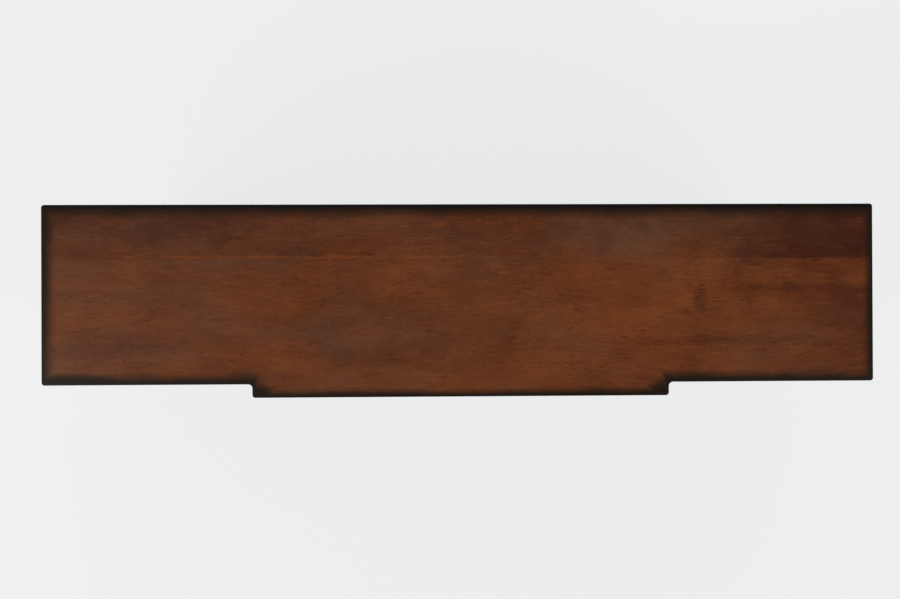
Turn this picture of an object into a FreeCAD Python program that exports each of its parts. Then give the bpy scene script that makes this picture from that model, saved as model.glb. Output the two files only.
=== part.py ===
"""A long breakfront lowboy: nine inset drawers in a post-and-rail case under one stepped top.

Millimetres.  +X is to the right, +Z is up and the drawers open towards -Y.  The origin is on the
floor under the middle of the piece.  The back of the case is flat, and the middle third of the
front stands forward of the two ends by one step.
"""
import FreeCAD, Part
from collections import namedtuple
import os
import re
import Sketcher

# Sizes that a maker can set, one by one.
SIZES = {
    # top board
    "top_width": 1980,
    "top_depth": 458,
    "top_thick": 25,
    "break_width": 992,
    "break_step": 32,
    "corner_round": 7,
    "step_round": 10,
    "edge_round": 3,
    "under_bevel": 1.5,
    "overhang": 20,
    "back_overhang": 6,
    # heights from the floor up
    "glide_high": 4,
    "foot_high": 70,
    "apron_high": 57,
    "blade_thick": 22,
    "bottom_open": 195,
    "middle_open": 180,
    "top_open": 165,
    "top_rail_high": 32,
    # posts and their feet
    "post_wide": 44,
    "post_deep": 44,
    "toe_wide": 30,
    # joinery
    "tenon_long": 12,
    "tenon_thick": 10,
    "shoulder": 6,
    "wall_tuck": 8,
    # aprons and end frames
    "apron_thick": 22,
    "arch_rise": 35,
    "arch_land": 40,
    "end_rail_thick": 22,
    "end_setback": 2,
    "end_top_high": 60,
    "end_bottom_high": 80,
    "panel_tongue": 6,
    "panel_tuck": 8,
    "panel_field": 5,
    "panel_bevel": 38,
    # inner frames
    "wall_thick": 18,
    "runner_wide": 50,
    "rail_wide": 20,
    "rail_above": 8,
    "rail_below": 14,
    "rail_tuck": 18,
    "rail_set": 4,
    "dust_thick": 5,
    "dust_tuck": 6,
    "back_thick": 6,
    "back_rabbet": 10,
    # drawers
    "front_thick": 20,
    "side_thick": 12,
    "bottom_thick": 6,
    "bottom_rise": 12,
    "groove_deep": 6,
    "box_drop": 16,
    "gap_side": 2,
    "gap_top": 2,
    "gap_bottom": 1.5,
    "run_gap": 0.3,
    "back_clear": 14,
    "front_lap": 7,
    "pin_wide": 8,
    "tail_slope": 7,
    "bead_wide": 4,
    "bead_proud": 3,
    "bead_bevel": 1.2,
    "guide_wide": 50,
    "stop_long": 30,
    "stop_deep": 20,
    "stop_high": 6,
    "stop_inset": 60,
    # knobs
    "knob_plate": 26,
    "plate_thick": 2,
    "knob_neck": 12,
    "neck_end": 11,
    "knob_wide": 30,
    "rim_start": 16,
    "rim_end": 20,
    "knob_tip": 6,
    "knob_long": 26,
    "knob_spread": 430,
    # floor glides
    "glide_wide": 24,
    "glide_bevel": 1,
}

# Faces and levels that several pieces share, worked out from the sizes.
PLACES = {
    # across
    "end_face": "top_width / 2 - overhang",
    "corner_in": "end_face - post_wide",
    "break_out": "break_width / 2 - overhang",
    "break_in": "break_out - post_wide",
    "wall_in": "(break_out + break_in - wall_thick) / 2",
    "wall_out": "(break_out + break_in + wall_thick) / 2",
    # front to back; the top and the knobs together are centred on the origin
    "top_back": "(top_depth + max(knob_long; overhang) - overhang) / 2",
    "centre_face": "top_back - top_depth + overhang",
    "side_face": "centre_face + break_step",
    "post_back": "side_face + post_deep",
    "case_back": "top_back - back_overhang",
    "rear_face": "case_back - post_deep",
    "panel_face": "case_back - back_thick",
    "box_back": "rear_face - back_clear",
    # up
    "bottom_level": "foot_high + apron_high + blade_thick",
    "middle_level": "bottom_level + bottom_open + blade_thick",
    "top_level": "middle_level + middle_open + blade_thick",
    "kicker_level": "top_level + top_open",
    "case_top": "kicker_level + top_rail_high",
    # end frames
    "end_rail_out": "end_face - end_setback",
    "end_rail_in": "end_rail_out - end_rail_thick",
    "tongue_in": "(end_rail_out + end_rail_in - panel_tongue) / 2",
    "tongue_out": "tongue_in + panel_tongue",
}

# A column has an opening between its posts, wider walls behind them, and a face in front.
Column = namedtuple("Column", "left right wall_left wall_right face")
COLUMNS = {
    "left": Column("-corner_in", "-break_out", "-corner_in", "-wall_out", "side_face"),
    "centre": Column("-break_in", "break_in", "-wall_in", "wall_in", "centre_face"),
    "right": Column("break_out", "corner_in", "wall_out", "corner_in", "side_face"),
}

# A row has the level its drawers run on, the height of its openings, and tails in each corner.
Row = namedtuple("Row", "level opening tail_count")
ROWS = {
    "bottom": Row("bottom_level", "bottom_open", 4),
    "middle": Row("middle_level", "middle_open", 4),
    "top": Row("top_level", "top_open", 3),
}

doc = FreeCAD.newDocument("Lowboy")
sheet_of = {}
nodes = {}


def formula(text):
    """The expression with each size and place given its sheet's name."""
    return re.sub(r"[a-z_]+", lambda word: sheet_of.get(word[0], "") + word[0], text)


def fill_sheet(name, cells, sign):
    """A sheet with one named cell for each entry."""
    sheet = doc.addObject("Spreadsheet::Sheet", name)
    for row, (alias, content) in enumerate(cells.items(), start=1):
        sheet.set("A%d" % row, alias)
        sheet.set("B%d" % row, sign + formula(str(content)))
        sheet.setAlias("B%d" % row, alias)
        sheet_of[alias] = name + "."
    doc.recompute()
    return sheet


sizes = fill_sheet("Sizes", SIZES, "")
fill_sheet("Places", PLACES, "=")


def number(text):
    """The present value of an expression."""
    return float(sizes.evalExpression(formula(text)))


def bind(thing, **expressions):
    """Tie properties to expressions; a double underscore stands for a dot."""
    for key, text in expressions.items():
        thing.setExpression(key.replace("__", "."), formula(text))


def keep(node, thing):
    """Name a finished sub-part."""
    thing.Label = node
    nodes[node] = thing
    return thing


# ---------------------------------------------------------------- making and joining pieces

def block(name, across, deep, high):
    """A squared block between a low and a high plane each way."""
    box = doc.addObject("Part::Box", name)
    for size, axis, (low, top) in zip(("Length", "Width", "Height"), "xyz", (across, deep, high)):
        box.setExpression(size, formula("(%s) - (%s)" % (top, low)))
        box.setExpression("Placement.Base." + axis, formula(low))
    return box


def flipped(span):
    """A stretch seen the other way along its axis."""
    return "-(%s)" % span[1], "-(%s)" % span[0]


def handed(span, hand):
    """A stretch across, as it is on the right or mirrored to the left."""
    return span if hand == "right" else flipped(span)


def tapered(name, axis, planes, start, end):
    """A block whose section changes evenly from one plane to the next along an axis.

    Each section is given by its stretches along the two other axes, in the order of X, Y, Z.
    """
    # a wedge grows along its own Y, so it is turned to grow along X or Z
    wedge = doc.addObject("Part::Wedge", name)
    if axis == "x":
        start, end = (flipped(start[0]), start[1]), (flipped(end[0]), end[1])
        wedge.Placement.Rotation = FreeCAD.Rotation(FreeCAD.Vector(0, 0, 1), -90)
    if axis == "z":
        start, end = (start[0], flipped(start[1])), (end[0], flipped(end[1]))
        wedge.Placement.Rotation = FreeCAD.Rotation(FreeCAD.Vector(1, 0, 0), 90)
    bind(wedge, Ymin=planes[0], Ymax=planes[1])
    bind(wedge, Xmin=start[0][0], Xmax=start[0][1], Zmin=start[1][0], Zmax=start[1][1])
    bind(wedge, X2min=end[0][0], X2max=end[0][1], Z2min=end[1][0], Z2max=end[1][1])
    return wedge


def joined(name, *pieces):
    """Several pieces glued up as one solid."""
    union = doc.addObject("Part::MultiFuse", name)
    union.Shapes = list(pieces)
    union.Refine = True
    return union


def cut(name, piece, *tools):
    """The piece with the seats of other pieces let into it."""
    for tool in tools:
        seat = doc.addObject("Part::Cut", name)
        seat.Base = piece
        seat.Tool = tool
        piece = seat
    return piece


def group(name, pieces):
    """Separate solids that share one node."""
    bundle = doc.addObject("Part::Compound", name)
    bundle.Links = list(pieces)
    return bundle


def body(name):
    return doc.addObject("PartDesign::Body", name)


def sketch(owner, name, plane, lift="0"):
    """An empty sketch on one of the body's own planes, moved along its normal by lift."""
    face = next(item for item in owner.Origin.OriginFeatures if item.Role == plane)
    drawing = owner.newObject("Sketcher::SketchObject", name)
    drawing.AttachmentSupport = [(face, "")]
    drawing.MapMode = "FlatFace"
    bind(drawing, AttachmentOffset__Base__z=lift)
    return drawing


def rule(drawing, kind, *where):
    """A sketch constraint whose last entry is an expression."""
    index = drawing.addConstraint(Sketcher.Constraint(kind, *where[:-1], number(where[-1])))
    drawing.setExpression("Constraints[%d]" % index, formula(where[-1]))


def arc_between(start, end, radius, outward):
    """The short arc from start to end that bulges to the right of the way, or to the left."""
    chord = end - start
    side = FreeCAD.Vector(chord.y, -chord.x, 0).normalize() * (1 if outward else -1)
    rise = radius - (radius ** 2 - chord.Length ** 2 / 4) ** 0.5
    middle = (start + end) * 0.5 + side * rise
    return Part.Arc(start, middle, end) if outward else Part.Arc(end, middle, start)


def outline(drawing, corners):
    """Add a closed loop to a sketch.

    Each corner is (along, up), or (along, up, side, radius) where an arc of that radius starts,
    which bulges to the "out" or the "in" side of a loop that runs anticlockwise.
    """
    first = drawing.GeometryCount
    count = len(corners)
    spots = [FreeCAD.Vector(number(corner[0]), number(corner[1]), 0) for corner in corners]
    starts = []
    for index, corner in enumerate(corners):
        here, there = spots[index], spots[(index + 1) % count]
        if len(corner) == 2:
            drawing.addGeometry(Part.LineSegment(here, there), False)
            starts.append(1)
        else:
            drawing.addGeometry(arc_between(here, there, number(corner[3]), corner[2] == "out"), False)
            starts.append(1 if corner[2] == "out" else 2)
    for index in range(count):
        after = (index + 1) % count
        drawing.addConstraint(Sketcher.Constraint(
            "Coincident", first + index, 3 - starts[index], first + after, starts[after]))
    for index, corner in enumerate(corners):
        rule(drawing, "DistanceX", first + index, starts[index], corner[0])
        rule(drawing, "DistanceY", first + index, starts[index], corner[1])
        if len(corner) == 4:
            rule(drawing, "Radius", first + index, corner[3])


def rectangle(drawing, along, up):
    """Add a rectangle between two planes each way."""
    outline(drawing, [(along[0], up[0]), (along[1], up[0]), (along[1], up[1]), (along[0], up[1])])


def pad(owner, drawing, length):
    feature = owner.newObject("PartDesign::Pad", "pad")
    feature.Profile = drawing
    bind(feature, Length=length)
    return feature


def chosen_edges(base, wanted):
    """The names of a feature's edges that pass a test."""
    doc.recompute()
    return ["Edge%d" % (index + 1) for index, edge in enumerate(base.Shape.Edges) if wanted(edge)]


def rounded(owner, base, wanted, radius):
    """Round the edges of a feature that pass a test."""
    feature = owner.newObject("PartDesign::Fillet", "rounding")
    feature.Base = (base, chosen_edges(base, wanted))
    bind(feature, Radius=radius)
    return feature


def bevelled(owner, base, wanted, size):
    """Bevel the edges of a feature that pass a test."""
    feature = owner.newObject("PartDesign::Chamfer", "bevel")
    feature.Base = (base, chosen_edges(base, wanted))
    bind(feature, Size=size)
    return feature


def copy_at(name, piece, across="0", deep="0", up="0"):
    """A linked copy of a piece, moved from where it was modelled."""
    twin = doc.addObject("App::Link", name)
    twin.LinkedObject = piece
    bind(twin, Placement__Base__x=across, Placement__Base__y=deep, Placement__Base__z=up)
    return twin


# ---------------------------------------------------------------- top board

def upright_at(spots):
    """A test for vertical edges that stand at one of the spots in plan."""
    def test(edge):
        box = edge.BoundBox
        flat = box.XLength + box.YLength < 0.01 and box.ZLength > 1
        return flat and any(abs(box.XMin - x) + abs(box.YMin - y) < 0.01 for x, y in spots)
    return test


def level_with(height):
    """A test for edges that lie flat at a height."""
    return lambda edge: edge.BoundBox.ZLength < 0.01 and abs(edge.BoundBox.ZMin - height) < 0.01


def top_board():
    """One glued-up board: a long slab whose middle half steps forward."""
    back, step_front, front = "top_back", "top_back - top_depth + break_step", "top_back - top_depth"
    half, half_break = "top_width / 2", "break_width / 2"
    top = body("top_body")
    plan = sketch(top, "top_plan", "XY_Plane", "case_top")
    outline(plan, [
        ("-" + half, back), ("-" + half, step_front), ("-" + half_break, step_front),
        ("-" + half_break, front), (half_break, front), (half_break, step_front),
        (half, step_front), (half, back)])
    board = pad(top, plan, "top_thick")
    outer = [(half, back), (half, step_front), (half_break, front)]
    inner = [(half_break, step_front)]
    for corners, radius in ((outer, "corner_round"), (inner, "step_round")):
        spots = [(sign * number(x), number(y)) for x, y in corners for sign in (-1, 1)]
        board = rounded(top, board, upright_at(spots), radius)
    board = rounded(top, board, level_with(number("case_top + top_thick")), "edge_round")
    bevelled(top, board, level_with(number("case_top")), "under_bevel")
    return keep("top", top)


# ---------------------------------------------------------------- inner frames

def middle_of(low, high):
    return "((%s) + (%s)) / 2" % (low, high)


def bearers(column, low, high):
    """Two front-to-back bearers of one column, tenoned into the front and the back rails."""
    inner_left, inner_right = column.wall_left + " + runner_wide", column.wall_right + " - runner_wide"
    spans = [
        ((column.wall_left, inner_left),
         (column.left + " + shoulder", inner_left + " - dust_tuck - shoulder")),
        ((inner_right, column.wall_right),
         (inner_right + " + dust_tuck + shoulder", column.right + " - shoulder")),
    ]
    middle = middle_of(low, high)
    tenon_high = (middle + " - tenon_thick / 2", middle + " + tenon_thick / 2")
    tenon_deep = ("post_back - tenon_long", "rear_face + tenon_long")
    bars = []
    for bar_across, tenon_across in spans:
        bar = block("bearer", bar_across, ("post_back", "rear_face"), (low, high))
        tenon = block("bearer_tenon", tenon_across, tenon_deep, tenon_high)
        bars.append(joined("tenoned_bearer", bar, tenon))
    return bars


def drawer_runners(dust):
    """The bearers under each drawer, and the kickers that hold the top drawers level."""
    bars = []
    for column in COLUMNS.values():
        for row, (level, _, _) in ROWS.items():
            pair = bearers(column, level + " - blade_thick", level)
            bars += [cut("runner", bar, dust) for bar in pair] if row == "bottom" else pair
        bars += bearers(column, "kicker_level", "case_top")
    return keep("drawer_runners", group("runners", bars))


def dust_panels():
    """Thin boards that close the case under the bottom drawers, let into the frame all round."""
    panels = []
    for column in COLUMNS.values():
        panels.append(block(
            "dust_board",
            (column.wall_left + " + runner_wide - dust_tuck",
             column.wall_right + " - runner_wide + dust_tuck"),
            ("post_back - dust_tuck", "rear_face + dust_tuck"),
            ("bottom_level - rail_below - dust_thick", "bottom_level - rail_below")))
    return keep("dust_panels", group("dust_boards", panels))


def guide_rails():
    """One rail down the middle of each opening, housed in the front blade and the back rail."""
    rails = []
    for column in COLUMNS.values():
        middle = middle_of(column.left, column.right)
        for row in ROWS.values():
            rails.append(block(
                "guide_rail",
                (middle + " - rail_wide / 2", middle + " + rail_wide / 2"),
                (column.face + " + front_thick + rail_set", "rear_face + rail_tuck"),
                (row.level + " - rail_below", row.level + " + rail_above")))
    return keep("guide_rails", group("rails", rails))


def cross_rail(across, deep, tenon_deep, high):
    """A rail between two posts with a stub tenon at each end."""
    middle = middle_of(*high)
    rail = block("rail", across, deep, high)
    tenon = block(
        "rail_tenon", (across[0] + " - tenon_long", across[1] + " + tenon_long"), tenon_deep,
        (middle + " - tenon_thick / 2", middle + " + tenon_thick / 2"))
    return joined("tenoned_rail", rail, tenon)


def front_rail(column, low, high):
    """A rail of the front frame, flush with the faces of its posts."""
    return cross_rail(
        (column.left, column.right), (column.face, "post_back"),
        (column.face + " + shoulder", "post_back - wall_tuck - shoulder"), (low, high))


def drawer_blades(runners, rails, dust):
    """The rails under each drawer, mortised for the runners and notched for the guide rails."""
    blades = []
    for column in COLUMNS.values():
        for row, (level, _, _) in ROWS.items():
            blade = cut("blade", front_rail(column, level + " - blade_thick", level), runners, rails)
            blades.append(cut("blade", blade, dust) if row == "bottom" else blade)
    return keep("drawer_blades", group("blades", blades))


def top_rails(runners):
    """The rails that close the front frame under the top, mortised for the kickers."""
    rails = [cut("top_rail", front_rail(column, "kicker_level", "case_top"), runners)
             for column in COLUMNS.values()]
    return keep("top_rails", group("top_rail_set", rails))


def back_rails(runners, rails, dust):
    """The rails between the rear posts, one for each level of runners and one under the top."""
    bars = []
    levels = [(row.level + " - blade_thick", row.level) for row in ROWS.values()]
    for column in COLUMNS.values():
        for high in levels + [("kicker_level", "case_top")]:
            bar = cross_rail(
                (column.left, column.right), ("rear_face", "panel_face"),
                ("rear_face + wall_tuck + shoulder", "panel_face - shoulder"), high)
            bars.append(cut("back_rail", bar, runners, rails, dust))
    return keep("back_rails", group("back_rail_set", bars))


def partitions():
    """Upright boards between the columns, tongued into the posts in front and behind."""
    spans = {"partition_right": ("wall_in", "wall_out"), "partition_left": ("-wall_out", "-wall_in")}
    for node, across in spans.items():
        wall = block(
            node, across, ("post_back - wall_tuck", "rear_face + wall_tuck"),
            ("bottom_level - blade_thick", "case_top"))
        keep(node, wall)


def back_panel():
    """One thin board that closes the back, in the rear posts' rabbets."""
    panel = block(
        "back_board", ("-corner_in - back_rabbet", "corner_in + back_rabbet"),
        ("panel_face", "case_back"), ("bottom_level - blade_thick", "case_top"))
    return keep("back_panel", panel)


# ---------------------------------------------------------------- aprons and end frames

def arched_board(name, plane, lift, thick, along, up, tenon_lift):
    """A board with a low arch sawn in its lower edge and a stub tenon at each end."""
    low, high = along
    board = body(name)
    face = sketch(board, name + "_face", plane, lift)
    span = "(%s) - (%s) - 2 * arch_land" % (high, low)
    radius = "((%s) ^ 2 / 4 + arch_rise ^ 2) / (2 * arch_rise)" % span
    outline(face, [
        (low, up[0]), (low + " + arch_land", up[0], "in", radius), (high + " - arch_land", up[0]),
        (high, up[0]), (high, up[1]), (low, up[1])])
    pad(board, face, thick)
    ends = sketch(board, name + "_tenons", plane, tenon_lift)
    for start, end in ((low + " - tenon_long", low), (high, high + " + tenon_long")):
        rectangle(ends, (start, end), (up[0] + " + shoulder", up[1] + " - shoulder"))
    pad(board, ends, "tenon_thick")
    return board


def aprons():
    """Arched boards between the feet, flush with the front frame above them."""
    boards = []
    for name, column in COLUMNS.items():
        # a sketch on the upright front plane grows towards -Y, so its lift is -Y too
        boards.append(arched_board(
            name + "_apron", "XZ_Plane", "-(%s + apron_thick)" % column.face, "apron_thick",
            (column.left, column.right), ("foot_high", "foot_high + apron_high"),
            "-(%s + (apron_thick + tenon_thick) / 2)" % column.face))
    return keep("aprons", group("apron_set", boards))


def raised_panel(hand):
    """A panel with a thin tongue all round and a bevel that rises to a flat field outside."""
    edges = (("post_back - panel_tuck", "rear_face + panel_tuck"),
             ("foot_high + end_bottom_high - panel_tuck", "case_top - end_top_high + panel_tuck"))

    def inset(amount):
        return [(low + " + " + amount, high + " - " + amount) for low, high in edges]

    tongue = block("tongue", handed(("tongue_in", "tongue_out"), hand), *edges)
    foot, field = inset("panel_tuck"), inset("panel_tuck + panel_bevel")
    rise = handed(("tongue_out", "tongue_out + panel_field"), hand)
    bevel = tapered("bevel", "x", rise, *((foot, field) if hand == "right" else (field, foot)))
    return joined("raised_panel", tongue, bevel)


def end_frames():
    """A fielded panel in each end, between two rails and the corner posts."""
    along = ("post_back", "rear_face")
    middle = "(end_rail_out + end_rail_in - tenon_thick) / 2"
    hands = {
        "left": ("-end_rail_out", "-(%s + tenon_thick)" % middle),
        "right": ("end_rail_in", middle),
    }
    for hand, (rail_lift, tenon_lift) in hands.items():
        panel = keep("end_panel_" + hand, raised_panel(hand))
        lower = arched_board(
            hand + "_end_lower", "YZ_Plane", rail_lift, "end_rail_thick", along,
            ("foot_high", "foot_high + end_bottom_high"), tenon_lift)
        upper = body(hand + "_end_upper")
        rail_face = sketch(upper, hand + "_upper_face", "YZ_Plane", rail_lift)
        rectangle(rail_face, along, ("case_top - end_top_high", "case_top"))
        pad(upper, rail_face, "end_rail_thick")
        tenons = sketch(upper, hand + "_upper_tenons", "YZ_Plane", tenon_lift)
        for start, end in (("post_back - tenon_long", "post_back"),
                           ("rear_face", "rear_face + tenon_long")):
            rectangle(tenons, (start, end),
                      ("case_top - end_top_high + panel_tuck + shoulder", "case_top - shoulder"))
        pad(upper, tenons, "tenon_thick")
        rails = [cut("end_rail", rail, panel) for rail in (lower, upper)]
        keep("end_rails_" + hand, group(hand + "_end_rail_set", rails))


# ---------------------------------------------------------------- posts and their glides

TOE_INSET = "(post_deep - toe_wide)"

# Posts of the right side: section across and deep, then the toe of the tapered foot likewise.
POSTS = {
    "front_post": (
        ("corner_in", "end_face"), ("side_face", "post_back"),
        ("end_face - toe_wide", "end_face"), ("side_face", "post_back - " + TOE_INSET)),
    "break_post": (
        ("break_in", "break_out"), ("centre_face", "post_back"),
        ("(break_in + break_out - toe_wide) / 2", "(break_in + break_out + toe_wide) / 2"),
        ("centre_face", "post_back - " + TOE_INSET)),
    "rear_post": (
        ("corner_in", "end_face"), ("rear_face", "case_back"),
        ("end_face - toe_wide", "end_face"), ("rear_face + " + TOE_INSET, "case_back")),
    "rear_inner_post": (
        ("break_in", "break_out"), ("rear_face", "panel_face"),
        ("(break_in + break_out - toe_wide) / 2", "(break_in + break_out + toe_wide) / 2"),
        ("rear_face + " + TOE_INSET, "panel_face")),
}


def floor_glide():
    """A square nylon pad with a bevelled sole, modelled under the origin and copied to each toe."""
    half = ("-glide_wide / 2", "glide_wide / 2")
    sole = ("glide_bevel - glide_wide / 2", "glide_wide / 2 - glide_bevel")
    bevel = tapered("glide_sole", "z", ("0", "glide_bevel"), (sole, sole), (half, half))
    upper = block("glide_upper", half, half, ("glide_bevel", "glide_high"))
    return joined("glide", bevel, upper)


def post(name, across, deep, toe_across, toe_deep):
    """A squared post whose foot tapers on its inner faces."""
    stick = block(name + "_stick", across, deep, ("foot_high", "case_top"))
    foot = tapered(name + "_foot", "z", ("glide_high", "foot_high"), (toe_across, toe_deep), (across, deep))
    return joined(name, stick, foot)


def posts(seats):
    """Eight posts, mortised for what meets them, each with a glide under its toe."""
    pattern = floor_glide()
    glides = []
    blanks = {}
    for name, (across, deep, toe_across, toe_deep) in POSTS.items():
        for hand in ("left", "right"):
            label = name + "_" + hand
            toe = handed(toe_across, hand)
            blanks[label] = post(label + "_blank", handed(across, hand), deep, toe, toe_deep)
            glides.append(copy_at(label + "_glide", pattern, middle_of(*toe), middle_of(*toe_deep)))
    keep("floor_glides", group("glides", glides))
    inner = []
    for label, blank in blanks.items():
        kind, hand = label.rsplit("_", 1)
        tools = [nodes[seat % hand if "%s" in seat else seat] for seat in seats[kind]]
        finished = cut(label, blank, *tools)
        if kind == "rear_inner_post":
            inner.append(finished)
        else:
            keep(label, finished)
    keep("rear_inner_posts", group("inner_posts", inner))


# What is let into each kind of post.
SEATS = {
    "front_post": ["drawer_blades", "top_rails", "aprons", "end_rails_%s", "end_panel_%s"],
    "break_post": ["drawer_blades", "top_rails", "aprons", "partition_%s"],
    "rear_post": ["back_rails", "end_rails_%s", "end_panel_%s", "back_panel"],
    "rear_inner_post": ["back_rails", "partition_%s"],
}


# ---------------------------------------------------------------- drawers

def tails(owner, drawing, low, high, shoulder, tip, count):
    """A row of dovetails on a board's end: one tail padded, then repeated up the board.

    The tails lie between the heights low and high, with half a pin left at each end.
    """
    pitch = "((%s) - (%s)) / %d" % (high, low, count)
    middle = "(%s) + %s / 2" % (low, pitch)
    wide = "(%s - pin_wide) / 2" % pitch
    narrow = "(%s - abs((%s) - (%s)) / tail_slope)" % (wide, shoulder, tip)
    corners = [(tip, middle + " - " + wide), (shoulder, middle + " - " + narrow),
               (shoulder, middle + " + " + narrow), (tip, middle + " + " + wide)]
    outline(drawing, corners if number(tip) < number(shoulder) else corners[::-1])
    first = pad(owner, drawing, "side_thick")
    row = owner.newObject("PartDesign::LinearPattern", "tail_row")
    row.Originals = [first]
    row.Direction = (drawing, ["V_Axis"])
    row.Occurrences = count
    bind(row, Length="%s * %d" % (pitch, count - 1))
    owner.Tip = row


def drawer_side(name, face, low, high, count):
    """A drawer side: half-blind tails in front, through tails behind, full length at the foot.

    It is modelled with its left face on the middle plane, and copied to each end of the front.
    """
    side = body(name)
    front_shoulder, back_shoulder = face + " + front_thick", "box_back - side_thick"
    seat = low + " + bottom_rise + bottom_thick"
    board = sketch(side, name + "_board", "YZ_Plane")
    outline(board, [
        (front_shoulder, low), ("box_back", low), ("box_back", seat), (back_shoulder, seat),
        (back_shoulder, high), (front_shoulder, high)])
    pad(side, board, "side_thick")
    front_tails = sketch(side, name + "_front_tails", "YZ_Plane")
    tails(side, front_tails, low, high, front_shoulder, face + " + front_lap", count)
    back_tails = sketch(side, name + "_back_tails", "YZ_Plane")
    tails(side, back_tails, seat, high, back_shoulder, "box_back", count)
    return side


def drawer_front(name, across, up, face):
    """A drawer front with a bevelled bead standing proud round its edge."""
    front = body(name)
    board = sketch(front, name + "_board", "XZ_Plane", "-(%s + front_thick)" % face)
    rectangle(board, across, up)
    pad(front, board, "front_thick")
    ring = sketch(front, name + "_bead", "XZ_Plane", "-(%s)" % face)
    rectangle(ring, across, up)
    rectangle(ring, (across[0] + " + bead_wide", across[1] + " - bead_wide"),
              (up[0] + " + bead_wide", up[1] + " - bead_wide"))
    bead = pad(front, ring, "bead_proud")
    crest = number(face + " - bead_proud")
    bevelled(front, bead, lambda edge: abs(edge.BoundBox.YMax - crest) + edge.BoundBox.YLength < 0.01,
             "bead_bevel")
    return front


def knob():
    """A square cast knob: plate, neck, flared back, rim and a low pyramid in front.

    It is modelled with its plate's back on the origin, and copied to each place.
    """
    def square(wide):
        return ("-%s / 2" % wide, "%s / 2" % wide)

    def slab(name, wide, near, far):
        return block(name, square(wide), ("-" + far, "-" + near), square(wide))

    def taper(name, near_wide, near, far_wide, far):
        sections = [(square(wide), square(wide)) for wide in (far_wide, near_wide)]
        return tapered(name, "y", ("-" + far, "-" + near), *sections)

    return joined(
        "knob", slab("knob_plate", "knob_plate", "0", "plate_thick"),
        slab("knob_neck", "knob_neck", "plate_thick", "neck_end"),
        taper("knob_flare", "knob_neck", "neck_end", "knob_wide", "rim_start"),
        slab("knob_rim", "knob_wide", "rim_start", "rim_end"),
        taper("knob_pyramid", "knob_wide", "rim_end", "knob_tip", "knob_long"))


def drawer(column, row, knob_pattern):
    """One drawer: front, dovetailed box with its guide, bottom and knobs."""
    left, right, _, _, face = COLUMNS[column]
    level, opening, tail_count = ROWS[row]
    name = "%s_%s_" % (column, row)
    middle = middle_of(left, right)
    low, high = level + " + run_gap", "%s + run_gap + %s - box_drop" % (level, opening)
    across = (left + " + gap_side", right + " - gap_side")
    front_up = (level + " + gap_bottom", "%s + %s - gap_top" % (level, opening))
    behind = face + " + front_thick"

    tuck = "side_thick - groove_deep"
    bottom = block(
        name + "board", ("%s + %s" % (across[0], tuck), "%s - (%s)" % (across[1], tuck)),
        (behind + " - groove_deep", "box_back"),
        (low + " + bottom_rise", low + " + bottom_rise + bottom_thick"))
    keep(name + "drawer_bottom", bottom)

    side = drawer_side(name + "side", face, low, high, tail_count)
    sides = [copy_at(name + "side_copy", side, spot)
             for spot in (across[0], across[1] + " - side_thick")]
    back = block(name + "back", across, ("box_back - side_thick", "box_back"),
                 (low + " + bottom_rise + bottom_thick", high))
    guide = block(
        name + "guide", (middle + " - guide_wide / 2", middle + " + guide_wide / 2"),
        (behind, "box_back"), (low + " + run_gap", low + " + bottom_rise"))
    groove = block(
        name + "guide_groove",
        (middle + " - rail_wide / 2 - run_gap", middle + " + rail_wide / 2 + run_gap"),
        (behind, "box_back"), (low + " + run_gap", low + " + rail_above"))
    box = [cut(name + "side", board, bottom) for board in sides]
    box += [cut(name + "back", back, *sides), cut(name + "guide", guide, groove)]
    keep(name + "drawer_box", group(name + "box", box))

    front = drawer_front(name + "front", across, front_up, face)
    keep(name + "drawer_front", cut(name + "front", front, *sides, bottom))
    spots = [middle]
    if column == "centre":
        spots = [middle + " - knob_spread / 2", middle + " + knob_spread / 2"]
    knobs = [copy_at(name + "knob", knob_pattern, spot, face, middle_of(*front_up)) for spot in spots]
    keep(name + "drawer_knobs", group(name + "knobs", knobs))


def drawer_stops():
    """Two blocks on each blade that meet the back of the closed drawer front."""
    stops = []
    for column in COLUMNS.values():
        start = column.face + " + front_thick + run_gap"
        for row in ROWS.values():
            for middle in (column.left + " + stop_inset", column.right + " - stop_inset"):
                stops.append(block(
                    "stop", (middle + " - stop_long / 2", middle + " + stop_long / 2"),
                    (start, start + " + stop_deep"), (row.level, row.level + " + stop_high")))
    return keep("drawer_stops", group("stops", stops))


# ---------------------------------------------------------------- the whole piece

top_board()
dust = dust_panels()
runners = drawer_runners(dust)
rails = guide_rails()
drawer_blades(runners, rails, dust)
top_rails(runners)
back_rails(runners, rails, dust)
partitions()
back_panel()
aprons()
end_frames()
posts(SEATS)
drawer_stops()
knob_pattern = knob()
for column in COLUMNS:
    for row in ROWS:
        drawer(column, row, knob_pattern)
doc.recompute()

for item in doc.Objects:
    if {"Invalid", "Error"} & set(item.State):
        raise RuntimeError("%s did not build: %s" % (item.Label, item.State))
for node, thing in nodes.items():
    if thing.Shape.isNull() or not thing.Shape.isValid() or not thing.Shape.Solids:
        raise RuntimeError("%s is not a sound solid" % node)

os.makedirs("parts", exist_ok=True)
for node, thing in nodes.items():
    thing.Shape.exportStep("parts/%s.step" % node)
print("%d sub-parts, %d solids" % (len(nodes), sum(len(thing.Shape.Solids) for thing in nodes.values())))
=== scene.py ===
"""A long breakfront lowboy with nine drawers, in brown stained wood toned nearly black at its edges.

Metres.  +X is to the right, +Z is up and the drawers open towards -Y.
"""
import math
import random

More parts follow.
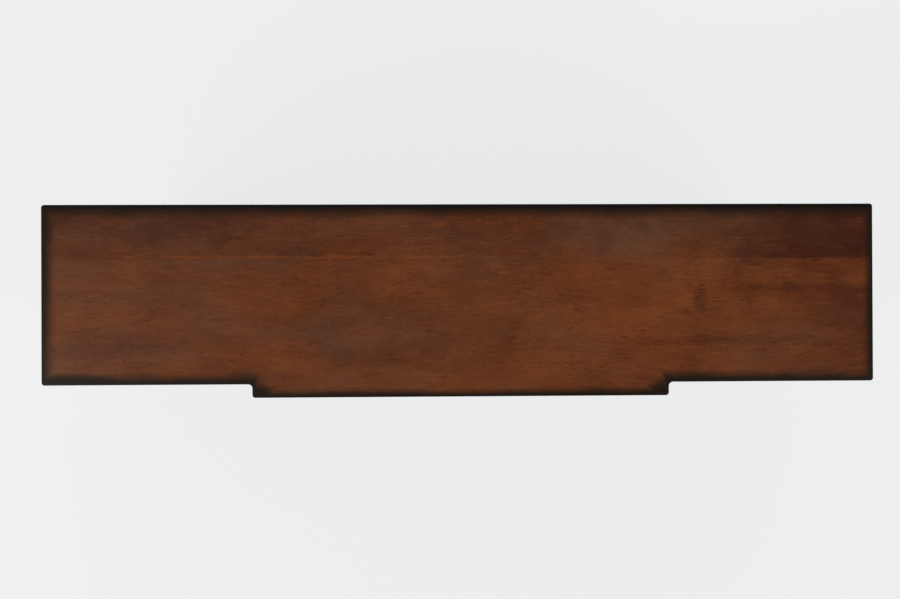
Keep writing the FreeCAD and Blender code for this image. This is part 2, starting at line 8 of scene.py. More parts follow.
import bmesh
import bpy
import numpy as np
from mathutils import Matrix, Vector


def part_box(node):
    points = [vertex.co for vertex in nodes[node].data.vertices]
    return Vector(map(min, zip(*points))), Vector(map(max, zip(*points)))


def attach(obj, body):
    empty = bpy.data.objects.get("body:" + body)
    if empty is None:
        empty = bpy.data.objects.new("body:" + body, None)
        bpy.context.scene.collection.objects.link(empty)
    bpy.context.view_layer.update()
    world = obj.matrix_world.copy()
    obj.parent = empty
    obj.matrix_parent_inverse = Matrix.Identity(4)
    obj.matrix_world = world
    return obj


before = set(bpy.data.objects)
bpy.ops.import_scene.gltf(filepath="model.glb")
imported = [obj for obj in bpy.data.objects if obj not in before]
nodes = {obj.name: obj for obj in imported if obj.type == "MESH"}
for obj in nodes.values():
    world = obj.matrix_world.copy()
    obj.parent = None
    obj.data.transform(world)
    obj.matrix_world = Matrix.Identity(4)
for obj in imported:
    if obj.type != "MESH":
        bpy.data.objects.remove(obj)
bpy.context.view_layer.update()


# ---------------------------------------------------------------- posts
# Eight squared hardwood posts with tapered feet, cut from long straight-grained stock, stained
# brown and toned nearly black along every arris before the satin lacquer.

class Wire:
    """One socket of a shader, with Python's operators."""

    def __init__(self, wiring, socket):
        self.wiring, self.socket = wiring, socket

    def __add__(self, other):
        return self.wiring.sum("ADD", self, other)

    def __sub__(self, other):
        return self.wiring.sum("SUBTRACT", self, other)

    def __rsub__(self, other):
        return self.wiring.sum("SUBTRACT", other, self)

    def __mul__(self, other):
        return self.wiring.sum("MULTIPLY", self, other)

    def __truediv__(self, other):
        return self.wiring.sum("DIVIDE", self, other)

    def __rtruediv__(self, other):
        return self.wiring.sum("DIVIDE", other, self)

    __radd__ = __add__
    __rmul__ = __mul__


class Wiring:
    """The nodes of a shader, and the wires between them."""

    def __init__(self, tree):
        self.tree = tree

    def fill(self, socket, value):
        if isinstance(value, Wire):
            self.tree.links.new(value.socket, socket)
        elif socket.type == "RGBA":
            socket.default_value = (*value, 1)
        elif socket.type == "VECTOR" and isinstance(value, (int, float)):
            socket.default_value = (value, value, value)
        else:
            socket.default_value = value

    def add(self, kind, settings, sockets, output=0):
        """A node of any type: its settings first, then what its sockets hold or are fed by."""
        node = self.tree.nodes.new(kind)
        for key, value in settings.items():
            setattr(node, key, value)
        for key, value in sockets.items():
            self.fill(node.inputs[key], value)
        return Wire(self, node.outputs[output])

    def sum(self, operation, *terms):
        """Arithmetic on values, or on vectors, which keep their three parts."""
        vector = any(isinstance(term, Wire) and term.socket.type == "VECTOR" for term in terms)
        kind = "ShaderNodeVectorMath" if vector else "ShaderNodeMath"
        return self.add(kind, {"operation": operation}, dict(enumerate(terms)))

    def read(self, attribute):
        """What a mesh keeps under a name, as a vector."""
        return self.add("ShaderNodeAttribute", {"attribute_name": attribute}, {}, "Vector")

    def split(self, vector):
        return [self.add("ShaderNodeSeparateXYZ", {}, {0: vector}, index) for index in range(3)]

    def noise(self, place, scale, detail=2.0, roughness=0.5, distortion=0.0):
        return self.add("ShaderNodeTexNoise", {}, {
            "Vector": place, "Scale": scale, "Detail": detail, "Roughness": roughness,
            "Distortion": distortion}, "Fac")

    def eased(self, value, low, high, start=0.0, end=1.0):
        """A value carried smoothly from one range to another, and held at both ends."""
        return self.add("ShaderNodeMapRange", {"interpolation_type": "SMOOTHSTEP"}, {
            "Value": value, "From Min": low, "From Max": high, "To Min": start, "To Max": end})

    def least(self, *values):
        found = values[0]
        for value in values[1:]:
            found = self.sum("MINIMUM", found, value)
        return found

    def most(self, *values):
        found = values[0]
        for value in values[1:]:
            found = self.sum("MAXIMUM", found, value)
        return found

    def laid(self, under, over, amount):
        """One colour laid over another by an amount."""
        return self.add("ShaderNodeMix", {"data_type": "RGBA"}, {0: amount, 6: under, 7: over}, 2)


class Paint(Wiring):
    """A material under construction, with its Principled shader at hand."""

    def __init__(self, name, **plain):
        self.material = bpy.data.materials.new(name)
        self.material.use_nodes = True
        super().__init__(self.material.node_tree)
        self.shader = self.tree.nodes["Principled BSDF"]
        self.set(**plain)

    def set(self, **sockets):
        """Fill sockets of the Principled shader; an underscore stands for a space."""
        for key, value in sockets.items():
            self.fill(self.shader.inputs[key.replace("_", " ")], value)

    def relief(self, height, depth):
        """The shading of a fine relief, whose depth is in metres."""
        normal = self.add("ShaderNodeBump", {}, {"Strength": 1.0, "Distance": depth, "Height": height})
        self.set(Normal=normal)


FINENESS = 1e5  # corners that fall in the same step of this many to a metre are one corner


def boards_of(node):
    """The vertex numbers of each separate board of a node, and the places of all its vertices.

    The faces of a board follow each other, so a board ends where its faces close up.
    """
    mesh = nodes[node].data
    places = np.empty(len(mesh.vertices) * 3)
    mesh.vertices.foreach_get("co", places)
    places = places.reshape(-1, 3)
    spots = [tuple(spot) for spot in np.round(places * FINENESS).astype(int).tolist()]
    open_edges, found, boards = set(), set(), []
    for face in mesh.polygons:
        corners = list(face.vertices)
        found.update(corners)
        for first, second in zip(corners, corners[1:] + corners[:1]):
            if (spots[second], spots[first]) in open_edges:
                open_edges.remove((spots[second], spots[first]))
            else:
                open_edges.add((spots[first], spots[second]))
        if not open_edges:
            boards.append(sorted(found))
            found = set()
    return boards, places


chance = random.Random(31)
LOG_HALF = 9  # how far from the middle of its log a board may be cut
TONED_SHARE = 0.22  # the most of a narrow board's width that the toning of one edge takes
LEVEL = 0.001  # boards whose undersides differ by less lie equally low
NEVER = 1000  # a distance in the toning's reaches that no board is long enough for


def mark_grain(node, axes=None, reach=0.011, arch=None):
    """Give each board of a node its own place in the log and its distance from every arris.

    grain is metres along, across and through the board, from a chance spot in the log.  near and
    far are the distances from the board's six sides, in shares of how far the dark toning reaches.
    An arch is sawn in the lowest boards only, and curve places a point in its circle.
    """
    boards, places = boards_of(node)
    lowest = places[:, 2].min() + LEVEL
    grain, near, far, curve = (np.zeros((len(places), 3)) for _ in range(4))
    for board in boards:
        spot = places[board]
        low, high = spot.min(0), spot.max(0)
        order = axes or list(np.argsort(low - high))
        shift = [chance.uniform(-LOG_HALF, LOG_HALF) for _ in range(3)]
        middle = (low + high) / 2
        share = min(reach, TONED_SHARE * sorted(high - low)[1])
        grain[board] = (spot - middle)[:, order] + shift
        near[board] = (spot - low) / share
        far[board] = (high - spot) / share
        if arch and low[2] < lowest:
            along, rise, land = arch
            chord = high[along] - low[along] - 2 * land
            radius = (chord ** 2 / 4 + rise ** 2) / (2 * rise)
            curve[board, 0] = (spot[:, along] - middle[along]) / share
            curve[board, 1] = (spot[:, 2] - low[2] - rise + radius) / share
            curve[board, 2] = radius / share
        else:
            curve[board, 1] = NEVER
    mesh = nodes[node].data
    for name, values in (("grain", grain), ("near", near), ("far", far), ("curve", curve)):
        attribute = mesh.attributes.new(name, "FLOAT_VECTOR", "POINT")
        attribute.data.foreach_set("vector", values.astype(np.float32).ravel())


def edge_share(paint):
    """How far a point is from the nearest arris, in shares of the toning's reach."""
    near, far = paint.split(paint.read("near")), paint.split(paint.read("far"))
    x, y, z = (paint.least(low, high) for low, high in zip(near, far))
    flat = paint.most(paint.least(x, y), paint.least(paint.most(x, y), z))
    across, up, radius = paint.split(paint.read("curve"))
    from_centre = paint.sum("SQRT", across * across + up * up)
    return paint.least(flat, paint.sum("ABSOLUTE", from_centre - radius))


DEEP_STAIN, PALE_STAIN = (0.038, 0.0068, 0.0016), (0.155, 0.0402, 0.0090)
# the milky colour is also the colour of the painted sheen
MILKY_AND_SHEEN = (0.099, 0.0520, 0.0310)
# the bright fibre colour also paints a glint of sheen on the fibres
BRIGHT_FIBRE_AND_GLINT = (0.200, 0.0760, 0.0280)
OPEN_PORE = (0.040, 0.0045, 0.0010)
# the black toner also stands for painted shade on the rounded arrises
TONER, BLACK_TONER_AND_ARRIS_SHADE = (0.0105, 0.0054, 0.0024), (0.0040, 0.0018, 0.0010)


def stained(paint, place, figure, edge, rim, tone=0.0, painted_sheen=0.0):
    """Brown stain and near-black edge toning over open-pored wood.

    place is metres along, across and through the board, and figure the same with the grain bent
    round any knots.  edge and rim are the distances from the arrises in shares of how far the
    toning and its blackest part reach; that blackest part is partly painted shade on the rounded
    arrises.  tone is how much paler a place is, and the last argument how much painted sheen lies
    over it as a milky tint.
    """
    mottle = paint.noise(place * (1.0, 2.0, 2.0) + 4.7, 5.2, 7.0, 0.62, 0.2)
    cloud = paint.noise(place * (1.0, 1.6, 1.6) - 11.3, 1.4, 3.0, 0.5, 0.3)
    streak = paint.noise(figure * (1.0, 4.5, 4.5), 12.0, 3.0, 0.55, 0.2)
    fibre = paint.noise(figure * (1.0, 5.0, 5.0), 34.0, 3.0, 0.7)
    thread = paint.noise(figure * (1.0, 5.0, 5.0) + 8.0, 105.0, 2.0, 0.6)
    speck = paint.noise(place * (1.0, 1.6, 1.6), 210.0, 1.0)
    depth = mottle * 0.38 + cloud * 0.34 + streak * 0.14 + fibre * 0.17 + thread * 0.16 + speck * 0.08
    depth = paint.eased(depth + tone, 0.37, 0.825)
    colour = paint.laid(DEEP_STAIN, PALE_STAIN, depth)

    # a milky tint in places, with any painted sheen laid on in the same colour
    dust = paint.noise(place * (1.0, 2.4, 2.4) + 23.0, 2.2, 5.0, 0.60, 0.2)
    cast = paint.eased(dust + painted_sheen, 0.32, 0.90, 0.0, 0.56)
    colour = paint.laid(colour, MILKY_AND_SHEEN, cast)

    # bright fibres, partly their own paler colour and partly a painted glint of sheen, and dark pores
    # as short dashes and longer hairlines, which crowd in places
    crowding = paint.noise(place * (1.0, 2.4, 2.4) + 31.0, 6.0, 3.0, 0.6)
    crowd = paint.eased(crowding, 0.40, 0.64, 0.45, 1.0)
    # paler fibres that also carry a painted glint of sheen, and are a little glossier
    glints = paint.eased(fibre, 0.57, 0.72) * crowd
    colour = paint.laid(colour, BRIGHT_FIBRE_AND_GLINT, glints * 0.18)
    pore = paint.noise(figure * (1.0, 5.0, 5.0) + 2.1, 62.0, 2.0, 0.65)
    pores = paint.eased(pore, 0.60, 0.68) * crowd
    colour = paint.laid(colour, OPEN_PORE, pores * 0.55)
    hairline = paint.noise(figure * (1.0, 14.0, 14.0) - 3.3, 26.0, 2.0, 0.6)
    hairlines = paint.eased(hairline, 0.60, 0.70) * crowd
    colour = paint.laid(colour, OPEN_PORE, hairlines * 0.62)

    # the toning and its blackest part, whose inner edges wander.  The blackest part along the arrises
    # is partly toner sprayed darkest and partly painted shade on their rounding
    wander = paint.noise(place + 1.9, 8.0, 5.0, 0.55) * 0.8 - 0.4
    toning = paint.eased(edge + wander, 0.20, 1.35, 1.0, 0.0)
    colour = paint.laid(colour, TONER, toning)
    blackest = paint.eased(rim + wander * 0.4, 0.3, 1.2, 1.0, 0.0)
    colour = paint.laid(colour, BLACK_TONER_AND_ARRIS_SHADE, blackest)
    paint.set(Base_Color=colour, Roughness=0.45 - glints * 0.05 + pores * 0.06)
    paint.relief(fibre - pores, 0.00005)


RIM_TIMES = 5  # how many times as wide as its blackest part the toning is
stained_wood = Paint("stained_wood", Specular_IOR_Level=0.2)
grain = stained_wood.read("grain")
edge = edge_share(stained_wood)
stained(stained_wood, grain, grain, edge, edge * RIM_TIMES)


def finish(node, paint):
    """Put a finish on all of a node."""
    nodes[node].data.materials.clear()
    nodes[node].data.materials.append(paint.material)


for node in ("front_post_left", "front_post_right", "break_post_left", "break_post_right",
             "rear_post_left", "rear_post_right", "rear_inner_posts"):
    mark_grain(node, axes=[2, 0, 1])
    finish(node, stained_wood)


# ---------------------------------------------------------------- front rails and aprons
# Hardwood rails tenoned between the posts under each drawer and under the top, and arched aprons
# below them, all flush with the faces of the posts and finished like them.

for node in ("drawer_blades", "top_rails"):
    mark_grain(node, axes=[0, 2, 1], reach=0.005)
    finish(node, stained_wood)

ARCH_RISE = 0.035
ARCH_LAND = 0.052  # from the end of the tenon to the start of the arch
mark_grain("aprons", axes=[0, 2, 1], arch=(0, ARCH_RISE, ARCH_LAND))
finish("aprons", stained_wood)


# ---------------------------------------------------------------- end frames
# Each end has a fielded panel held in grooves between an upper rail and an arched lower rail.  The
# panel's grain stands upright, as its bevels show.

for hand in ("left", "right"):
    mark_grain("end_rails_" + hand, axes=[1, 2, 0], arch=(1, ARCH_RISE, ARCH_LAND))
    finish("end_rails_" + hand, stained_wood)
    mark_grain("end_panel_" + hand, axes=[2, 1, 0], reach=0.014)
    finish("end_panel_" + hand, stained_wood)


# ---------------------------------------------------------------- inner frames
# Runners, kickers, guide rails, back rails, partitions and drawer stops are planed softwood that
# gets no stain: pale, with darker latewood lines and a few soiled spots.

PALE_SOFTWOOD, LATEWOOD = (0.50, 0.335, 0.175), (0.355, 0.205, 0.088)
ROUGH_SOFTWOOD, SOILED_SOFTWOOD = (0.29, 0.175, 0.085), (0.24, 0.165, 0.095)
case_softwood = Paint("case_softwood", Specular_IOR_Level=0.25)
grain = case_softwood.read("grain")
rings = case_softwood.noise(grain * (1.0, 14.0, 14.0), 3.4, 3.0, 0.5, 0.6)
lines = case_softwood.eased(case_softwood.sum("FRACT", rings * 9.0), 0.35, 1.0)
fuzz = case_softwood.noise(grain * (1.0, 30.0, 30.0), 16.0, 4.0, 0.6)
soil = case_softwood.noise(grain * (1.0, 1.5, 1.5), 6.0, 4.0, 0.6)
roughened = case_softwood.eased(fuzz, 0.5, 0.75, 0.0, 0.4)
soiled = case_softwood.eased(soil, 0.52, 0.72, 0.0, 0.35)
colour = case_softwood.laid(PALE_SOFTWOOD, LATEWOOD, lines * 0.6)
colour = case_softwood.laid(colour, ROUGH_SOFTWOOD, roughened)
colour = case_softwood.laid(colour, SOILED_SOFTWOOD, soiled)
case_softwood.set(Base_Color=colour, Roughness=0.62 + fuzz * 0.2)
case_softwood.relief(fuzz - lines * 0.4, 0.0003)

for node in ("drawer_runners", "guide_rails", "back_rails", "partition_left", "partition_right",
             "drawer_stops"):
    mark_grain(node)
    finish(node, case_softwood)


# ---------------------------------------------------------------- thin panels
# The back, the dust panels and the drawer bottoms are rotary-cut plywood with a wild, broad figure.
# The back is held to the back rails by small plated screws.

def plywood(name, pale, dark, stain):
    """Rotary-cut veneer between two tones, with a mottled stain over it."""
    paint = Paint(name, Specular_IOR_Level=0.3)
    grain = paint.read("grain")
    loops = paint.noise(grain * (1.0, 5.0, 1.0), 2.6, 3.0, 0.55, 1.4)
    fuzz = paint.noise(grain * (1.0, 34.0, 34.0), 15.0, 4.0, 0.6)
    bands = paint.eased(paint.sum("PINGPONG", loops * 12.0 + fuzz * 0.35, 1.0), 0.35, 1.0)
    mottle = paint.noise(grain * (1.0, 1.6, 1.0), 7.0, 4.0, 0.6)
    colour = paint.laid(pale, dark, bands * 0.55 + fuzz * 0.3)
    colour = paint.laid(colour, stain, paint.eased(mottle, 0.45, 0.75, 0.0, 0.45))
    paint.set(Base_Color=colour, Roughness=0.5 + fuzz * 0.2)
    paint.relief(fuzz, 0.0002)
    return paint


drawer_plywood = plywood("drawer_plywood", pale=(0.54, 0.375, 0.205), dark=(0.40, 0.245, 0.115),
                         stain=(0.36, 0.235, 0.125))
back_plywood = plywood("back_plywood", pale=(0.165, 0.088, 0.043), dark=(0.105, 0.050, 0.024),
                       stain=(0.085, 0.044, 0.024))

mark_grain("back_panel")
finish("back_panel", back_plywood)
mark_grain("dust_panels")
finish("dust_panels", drawer_plywood)


def lofted(mesh, loops, spot, axis):
    """Skin closed loops of (x, y, height) corners, one after another, along an axis at a spot."""
    turn = Vector(axis).to_track_quat("Z", "Y").to_matrix().to_4x4()
    turn.translation = spot
    rings = [[mesh.verts.new(turn @ Vector(corner)) for corner in loop] for loop in loops]
    for lower, upper in zip(rings, rings[1:]):
        for step in range(len(lower)):
            after = (step + 1) % len(lower)
            mesh.faces.new((lower[step], lower[after], upper[after], upper[step]))
    mesh.faces.new(rings[0][::-1])
    mesh.faces.new(rings[-1])


def circle(radius, height):
    """A loop of twelve corners, which start where an arm of a cross starts."""
    angles = [math.radians(30 * step - 15) for step in range(12)]
    return [(radius * math.cos(angle), radius * math.sin(angle), height) for angle in angles]


def cross(arm, half, height):
    """A loop of twelve corners round a cross whose arms have a half width."""
    quarter = [(arm, -half), (arm, half), (half, half)]
    corners = []
    for _ in range(4):
        corners += quarter
        quarter = [(-y, x) for x, y in quarter]
    return [(x, y, height) for x, y in corners]


HEAD_SIDE = ((1.0, 0.0), (1.0, 0.25), (0.93, 0.44), (0.74, 0.58))  # widths and heights, in radii
HEAD_RECESS = ((0.50, 0.12, 0.64), (0.38, 0.07, 0.20))  # arms, half widths and heights, in radii


def screw_head(mesh, spot, axis, radius):
    """A pan head that stands on a face, with a cross recess pressed in its crown."""
    side = [circle(radius * wide, radius * high) for wide, high in HEAD_SIDE]
    recess = [cross(radius * arm, radius * half, radius * high) for arm, half, high in HEAD_RECESS]
    lofted(mesh, side + recess, spot, axis)


CREASE = math.radians(35)  # edges that turn by more stay sharp


def piece_from(name, mesh, paint, body):
    """An object made of a finished mesh, which rides on a body."""
    data = bpy.data.meshes.new(name)
    mesh.normal_update()
    mesh.to_mesh(data)
    mesh.free()
    data.materials.append(paint.material)
    data.shade_smooth()
    piece = bpy.data.objects.new(name, data)
    bpy.context.scene.collection.objects.link(piece)
    edges = piece.modifiers.new("edges", "EDGE_SPLIT")
    edges.split_angle = CREASE
    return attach(piece, body)


PLATING, WORN_PLATING = (0.42, 0.40, 0.34), (0.26, 0.24, 0.20)
plated_steel = Paint("plated_steel", Metallic=1.0)
place = plated_steel.add("ShaderNodeTexCoord", {}, {}, "Object")
scuff = plated_steel.noise(place, 700.0, 3.0, 0.6)
plated_steel.set(Base_Color=plated_steel.laid(PLATING, WORN_PLATING, scuff),
                 Roughness=0.28 + scuff * 0.25)

BACK_SCREW = 0.0034  # the radius of the head
SCREWS_ACROSS = (-0.91, -0.77, -0.63, -0.49, -0.40, -0.20, 0.0, 0.20, 0.40, 0.49, 0.63, 0.77, 0.91)
boards, places = boards_of("back_rails")
heights = {round((places[board, 2].min() + places[board, 2].max()) / 2, 5) for board in boards}
low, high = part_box("back_panel")
screws = bmesh.new()
for height in sorted(heights):
    for across in SCREWS_ACROSS:
        screw_head(screws, (across, high.y, height), (0, 1, 0), BACK_SCREW)
piece_from("back_panel_screws", screws, plated_steel, "case")


# ---------------------------------------------------------------- drawer stops' screws
# Each stop is held down by one screw through its middle.

STOP_SCREW = 0.0032
screws = bmesh.new()
boards, places = boards_of("drawer_stops")
for board in boards:
    spot = places[board]
    middle = (spot.min(0) + spot.max(0)) / 2
    screw_head(screws, (middle[0], middle[1], spot[:, 2].max()), (0, 0, 1), STOP_SCREW)
piece_from("drawer_stop_screws", screws, plated_steel, "case")


# ---------------------------------------------------------------- floor glides
# Square pads of natural nylon under the feet, scuffed grey where they slide.

NATURAL_NYLON, SCUFFED_NYLON = (0.56, 0.53, 0.46), (0.33, 0.31, 0.27)
nylon = Paint("nylon", Specular_IOR_Level=0.4)
place = nylon.add("ShaderNodeTexCoord", {}, {}, "Object")
rub = nylon.noise(place, 240.0, 4.0, 0.6)
nylon.set(Base_Color=nylon.laid(NATURAL_NYLON, SCUFFED_NYLON, nylon.eased(rub, 0.4, 0.7)),
          Roughness=0.45 + rub * 0.3)
nylon.relief(rub, 0.0001)
finish("floor_glides", nylon)


# ---------------------------------------------------------------- top board
# Three wide boards glued edge to edge, their grain running the length of the case.  The brown stain
# is cloudy, and the toning is sprayed round the stepped edge by hand, so its width wanders.

top_wood = Paint("top_wood", Specular_IOR_Level=0.15)
place = top_wood.add("ShaderNodeTexCoord", {}, {}, "Object")
x, y, z = top_wood.split(place)

low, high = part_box("top")
STEP_FRONT = low.y + 0.032  # the front of the sides; the middle stands forward of them
BREAK_HALF = 0.496  # half the width of the middle


def from_edge(back, left, right, side_front, break_end, centre_front):
    """The distance from the nearest edge, in shares of how far in the toning comes from each."""
    to_back = (high.y - y) / back
    sides = top_wood.least((x - low.x) / left, (high.x - x) / right,
                           (y - STEP_FRONT) / side_front, to_back)
    centre = top_wood.least((x + BREAK_HALF) / break_end, (BREAK_HALF - x) / break_end,
                            (y - low.y) / centre_front, to_back)
    return top_wood.most(sides, centre)


def oval(across, deep, long, wide):
    """The squared distance from a spot, in shares of half the length and width of an oval there."""
    away_x, away_y = (x - across) / long, (y - deep) / wide
    return away_x * away_x + away_y * away_y


# the toning is wider near the step's corners and the front left corner, in ovals: where each lies,
# and half its length and width
SPRAYED = ((-0.485, low.y, 0.050, 0.037), (0.490, low.y, 0.054, 0.042), (-0.530, low.y, 0.075, 0.062),
           (-0.930, STEP_FRONT, 0.210, 0.029))
edge = from_edge(back=0.031, left=0.030, right=0.022, side_front=0.025, break_end=0.016,
                 centre_front=0.019)
edge = top_wood.least(edge, *(oval(*spot) for spot in SPRAYED))
# the blackest part: partly sprayed toner, partly painted shade on the rounded arris
rim = from_edge(back=0.011, left=0.003, right=0.004, side_front=0.003, break_end=0.003,
                centre_front=0.004)

# two glue lines part three boards, each cut further along its log.  The top darkens towards the
# back, and the back board also in two steps towards its right end.
GLUE_LINES = (0.102, -0.109)
FURTHER = 3.7
before, in_front = (top_wood.sum("LESS_THAN", y, line) for line in GLUE_LINES)
darker = top_wood.eased(x, 0.25, 0.45, 0.0, 0.035) + top_wood.eased(x, 0.50, 0.74, 0.0, 0.09)
tone = top_wood.eased(y, 0.02, 0.19, 0.02, -0.06) - (1.0 - before) * darker

# where a knot or a patch lies, half its length and width, and how much darker it is, or lighter
# below zero.  A knot also pushes the grain aside, by the last number.
KNOTS = ((0.562, -0.014, 0.010, 0.012, 0.03, 0.006), (0.539, -0.029, 0.010, 0.006, 0.08, 0.003),
         (0.688, 0.092, 0.022, 0.006, 0.11, 0.004), (-0.722, 0.053, 0.030, 0.010, 0.03, 0.003),
         (-0.741, -0.084, 0.010, 0.008, 0.02, 0.003), (0.490, -0.020, 0.050, 0.016, -0.08, 0.003))
SPOTS = ((0.572, 0.010, 0.012, 0.020, 0.10), (0.534, 0.000, 0.014, 0.008, -0.12),
         (0.665, 0.070, 0.008, 0.009, 0.07), (-0.432, -0.147, 0.022, 0.013, -0.05),
         (-0.690, 0.088, 0.035, 0.012, -0.04), (-0.690, -0.030, 0.035, 0.014, -0.04))
STREAKS = ((0.810, 0.030, 0.150, 0.008, 0.06), (0.560, -0.095, 0.150, 0.008, 0.07),
           (-0.860, -0.110, 0.130, 0.012, 0.05), (-0.350, 0.107, 0.320, 0.0025, -0.09))
CLOUDS = ((0.880, -0.100, 0.120, 0.100, 0.09), (-0.240, -0.060, 0.120, 0.070, 0.06),
          (-0.820, 0.200, 0.200, 0.040, 0.09), (-0.500, -0.130, 0.080, 0.030, 0.06),
          (0.350, -0.110, 0.130, 0.060, -0.08), (0.420, 0.100, 0.130, 0.055, -0.09),
          (-0.190, 0.125, 0.170, 0.050, -0.07), (0.270, 0.155, 0.060, 0.035, 0.05),
          (0.530, 0.155, 0.070, 0.040, -0.03), (-0.930, -0.150, 0.070, 0.025, 0.05))
drift = top_wood.noise(place, 16.0, 4.0, 0.6) * 3.0 - 1.5


def patch(across, deep, long, wide):
    """How strong a ragged oval patch is at a point, and how far across the grain it lies."""
    away_x, away_y = (x - across) / long + drift, (y - deep) / wide - drift
    return top_wood.eased(away_x * away_x + away_y * away_y, 0.0, 4.0, 1.0, 0.0), away_y


bent = y
for across, deep, long, wide, dark, push in KNOTS:
    core, away = patch(across, deep, long, wide)
    tone = tone - core * dark
    bent = bent + core * away * push
for across, deep, long, wide, dark in SPOTS + STREAKS + CLOUDS:
    core, _ = patch(across, deep, long, wide)
    tone = tone - core * dark

# the top carries a painted sheen, laid on as a milky tint.  It fades from left to right on the front
# boards, and is weakest at the left on the back one.  Patches of painted sheen lie over it, and one
# below zero
# clears the tint: where each lies, half its length and width, and its strength.
SHEEN_PATCHES = ((0.350, 0.170, 0.175, 0.090, 0.27), (0.900, 0.165, 0.120, 0.080, 0.14),
          (-0.450, 0.030, 0.150, 0.100, -0.16))
painted_sheen = top_wood.eased(x, -1.0, 0.95, 0.07, -0.08)
painted_sheen = painted_sheen - (1.0 - before) * top_wood.eased(x, -1.0, 0.4, 0.17, 0.0)
for across, deep, long, wide, strength in SHEEN_PATCHES:
    painted_sheen = painted_sheen + top_wood.eased(oval(across, deep, long, wide), 0.0, 1.2, strength, 0.0)

along = x + (before + in_front) * FURTHER
figure = top_wood.add("ShaderNodeCombineXYZ", {}, {0: along, 1: bent, 2: z})
stained(top_wood, place, figure, edge, rim, tone, painted_sheen)
finish("top", top_wood)


# ---------------------------------------------------------------- drawers
# Each drawer has a stained front with a bead standing proud round it, and a pale clear-sealed box:
# sides dovetailed to the front and the back, a grooved guide under the middle, a plywood bottom.

PALE_BOX, DARK_BOX = (0.58, 0.40, 0.215), (0.42, 0.26, 0.12)
CLOUDED_BOX, HANDLED_BOX = (0.36, 0.22, 0.11), (0.22, 0.13, 0.065)
drawer_wood = Paint("drawer_wood", Specular_IOR_Level=0.4)
grain = drawer_wood.read("grain")
streak = drawer_wood.noise(grain * (1.0, 10.0, 10.0), 4.5, 4.0, 0.6, 0.3)
fibre = drawer_wood.noise(grain * (1.0, 30.0, 30.0), 15.0, 5.0, 0.6)
cloud = drawer_wood.noise(grain * (1.0, 1.8, 1.8), 6.0, 3.0, 0.5)
grained = drawer_wood.eased(streak * 0.6 + fibre * 0.4, 0.35, 0.65)
clouded = drawer_wood.eased(cloud, 0.5, 0.8, 0.0, 0.4)
handled = drawer_wood.eased(edge_share(drawer_wood), 0.0, 0.25, 0.35, 0.0)
colour = drawer_wood.laid(PALE_BOX, DARK_BOX, grained)
colour = drawer_wood.laid(colour, CLOUDED_BOX, clouded)
colour = drawer_wood.laid(colour, HANDLED_BOX, handled)
drawer_wood.set(Base_Color=colour, Roughness=0.42 + fibre * 0.2)
drawer_wood.relief(fibre, 0.0002)

DRAWERS = ["%s_%s_drawer" % (column, row)
           for column in ("left", "centre", "right") for row in ("bottom", "middle", "top")]
for drawer in DRAWERS:
    mark_grain(drawer + "_front", axes=[0, 2, 1], reach=0.016)
    finish(drawer + "_front", stained_wood)
    mark_grain(drawer + "_box", reach=0.004)
    finish(drawer + "_box", drawer_wood)
    mark_grain(drawer + "_bottom")
    finish(drawer + "_bottom", drawer_plywood)


# ---------------------------------------------------------------- knobs
# Square cast knobs in dark aged bronze, rubbed brighter on the arrises.  Each is drawn tight by a
# screw with a washer, whose head shows inside the drawer front.

DARK_BRONZE, BROWN_BRONZE = (0.070, 0.044, 0.026), (0.118, 0.073, 0.040)
RUBBED_BRONZE = (0.42, 0.26, 0.13)
aged_bronze = Paint("aged_bronze", Metallic=0.9)
edge = edge_share(aged_bronze)
place = aged_bronze.add("ShaderNodeTexCoord", {}, {}, "Object")
patina = aged_bronze.noise(place, 160.0, 4.0, 0.65)
rubbed = aged_bronze.eased(edge + patina, 0.3, 0.9, 0.8, 0.0)
colour = aged_bronze.laid(DARK_BRONZE, BROWN_BRONZE, aged_bronze.eased(patina, 0.35, 0.7))
aged_bronze.set(Base_Color=aged_bronze.laid(colour, RUBBED_BRONZE, rubbed),
                Roughness=0.44 - rubbed * 0.14 + patina * 0.1)
aged_bronze.relief(patina, 0.0002)

FRONT_THICK = 0.020  # from a knob's seat to the inside of the drawer front
KNOB_SCREW = 0.0042
WASHER_THICK = 0.0011
WASHER = (circle(0.0064, 0.0), circle(0.0064, 0.0008), circle(0.0061, WASHER_THICK))
for drawer in DRAWERS:
    mark_grain(drawer + "_knobs", axes=[0, 2, 1], reach=0.003)
    finish(drawer + "_knobs", aged_bronze)
    screws = bmesh.new()
    boards, places = boards_of(drawer + "_knobs")
    for board in boards:
        spot = places[board]
        across, _, up = (spot.min(0) + spot.max(0)) / 2
        behind = spot[:, 1].max() + FRONT_THICK
        lofted(screws, WASHER, (across, behind, up), (0, 1, 0))
        screw_head(screws, (across, behind + WASHER_THICK, up), (0, 1, 0), KNOB_SCREW)
    piece_from(drawer + "_knob_screws", screws, plated_steel, drawer)


# ---------------------------------------------------------------- studio
# A plain pale floor under soft light: a sky that is pale low down and dim overhead, three broad
# lamps round the case, and a camera straight above that looks down at the top.

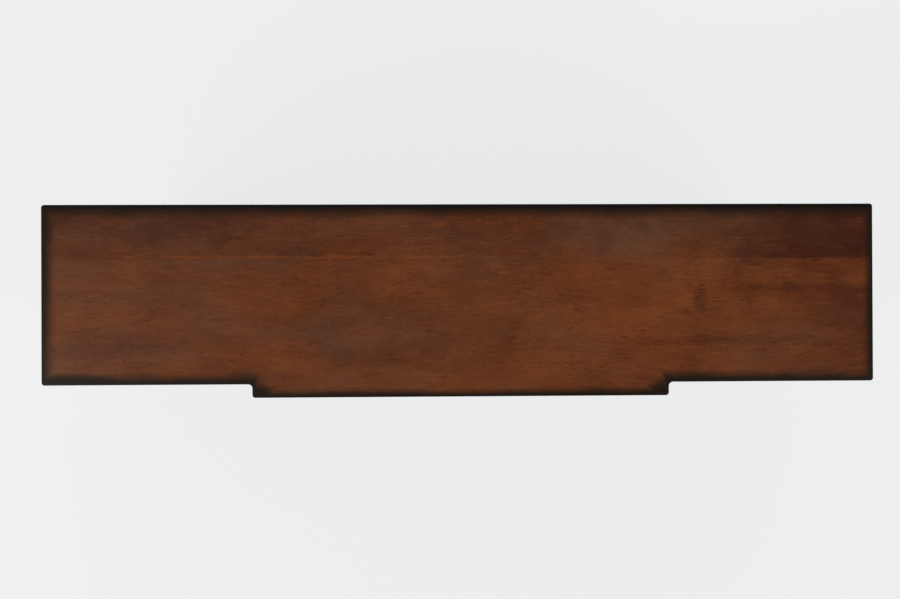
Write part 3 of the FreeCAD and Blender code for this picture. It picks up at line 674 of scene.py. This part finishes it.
FLOOR, GLOW = (0.82, 0.825, 0.83), (0.868, 0.872, 0.876)
GLOW_SHARE = 0.88  # the rest of the floor takes the shadow
floor = Paint("studio_floor", Roughness=0.9, Specular_IOR_Level=0.1, Base_Color=FLOOR)
seen, in_gloss, in_glass = (floor.add("ShaderNodeLightPath", {}, {}, ray)
                            for ray in ("Is Camera Ray", "Is Glossy Ray", "Is Transmission Ray"))
glow = floor.add("ShaderNodeEmission", {}, {"Color": GLOW, "Strength": 1.0})
lit = Wire(floor, floor.shader.outputs[0])
glowing = (seen + in_gloss + in_glass) * GLOW_SHARE
mixed = floor.add("ShaderNodeMixShader", {}, {0: glowing, 1: lit, 2: glow})
floor.fill(floor.tree.nodes["Material Output"].inputs["Surface"], mixed)

FAR = 30.0  # how far the floor reaches from the case
corners = [(-FAR, -FAR, 0), (FAR, -FAR, 0), (FAR, FAR, 0), (-FAR, FAR, 0)]
data = bpy.data.meshes.new("floor")
data.from_pydata(corners, [], [(0, 1, 2, 3)])
data.materials.append(floor.material)
ground = bpy.data.objects.new("floor", data)
bpy.context.scene.collection.objects.link(ground)

PALE_SKY, DIM_SKY = (0.793, 0.798, 0.801), (0.10, 0.099, 0.096)
world = bpy.data.worlds.new("studio")
bpy.context.scene.world = world
world.use_nodes = True
sky = Wiring(world.node_tree)
direction = sky.add("ShaderNodeTexCoord", {}, {}, "Generated")
height = sky.split(direction)[2]
air = sky.laid(PALE_SKY, DIM_SKY, sky.eased(height, 0.15, 0.85))
sky.fill(sky.tree.nodes["Background"].inputs["Color"], air)

AIM = Vector((0, 0, 0.5))
LAMPS = (((-2.9, -1.7, 3.0), 98, 2.2), ((3.2, -2.6, 3.0), 90, 2.2), ((0.0, 3.4, 3.0), 76, 2.6))
for spot, watts, width in LAMPS:
    light = bpy.data.lights.new("softbox", "AREA")
    light.energy = watts
    light.size = width
    lamp = bpy.data.objects.new("softbox", light)
    lamp.location = spot
    lamp.rotation_euler = (AIM - Vector(spot)).to_track_quat("-Z", "Y").to_euler()
    bpy.context.scene.collection.objects.link(lamp)

CAMERA_SPOT = (-0.0793, -0.0005, 2.9884)
CAMERA_TURN = (0.151, -1.359, -0.242)  # degrees from straight down
view = bpy.data.cameras.new("camera")
view.sensor_width = 36
view.lens = 37
camera = bpy.data.objects.new("camera", view)
camera.location = CAMERA_SPOT
camera.rotation_euler = [math.radians(turn) for turn in CAMERA_TURN]
bpy.context.scene.collection.objects.link(camera)
bpy.context.scene.camera = camera
bpy.context.scene.view_settings.view_transform = "Standard"
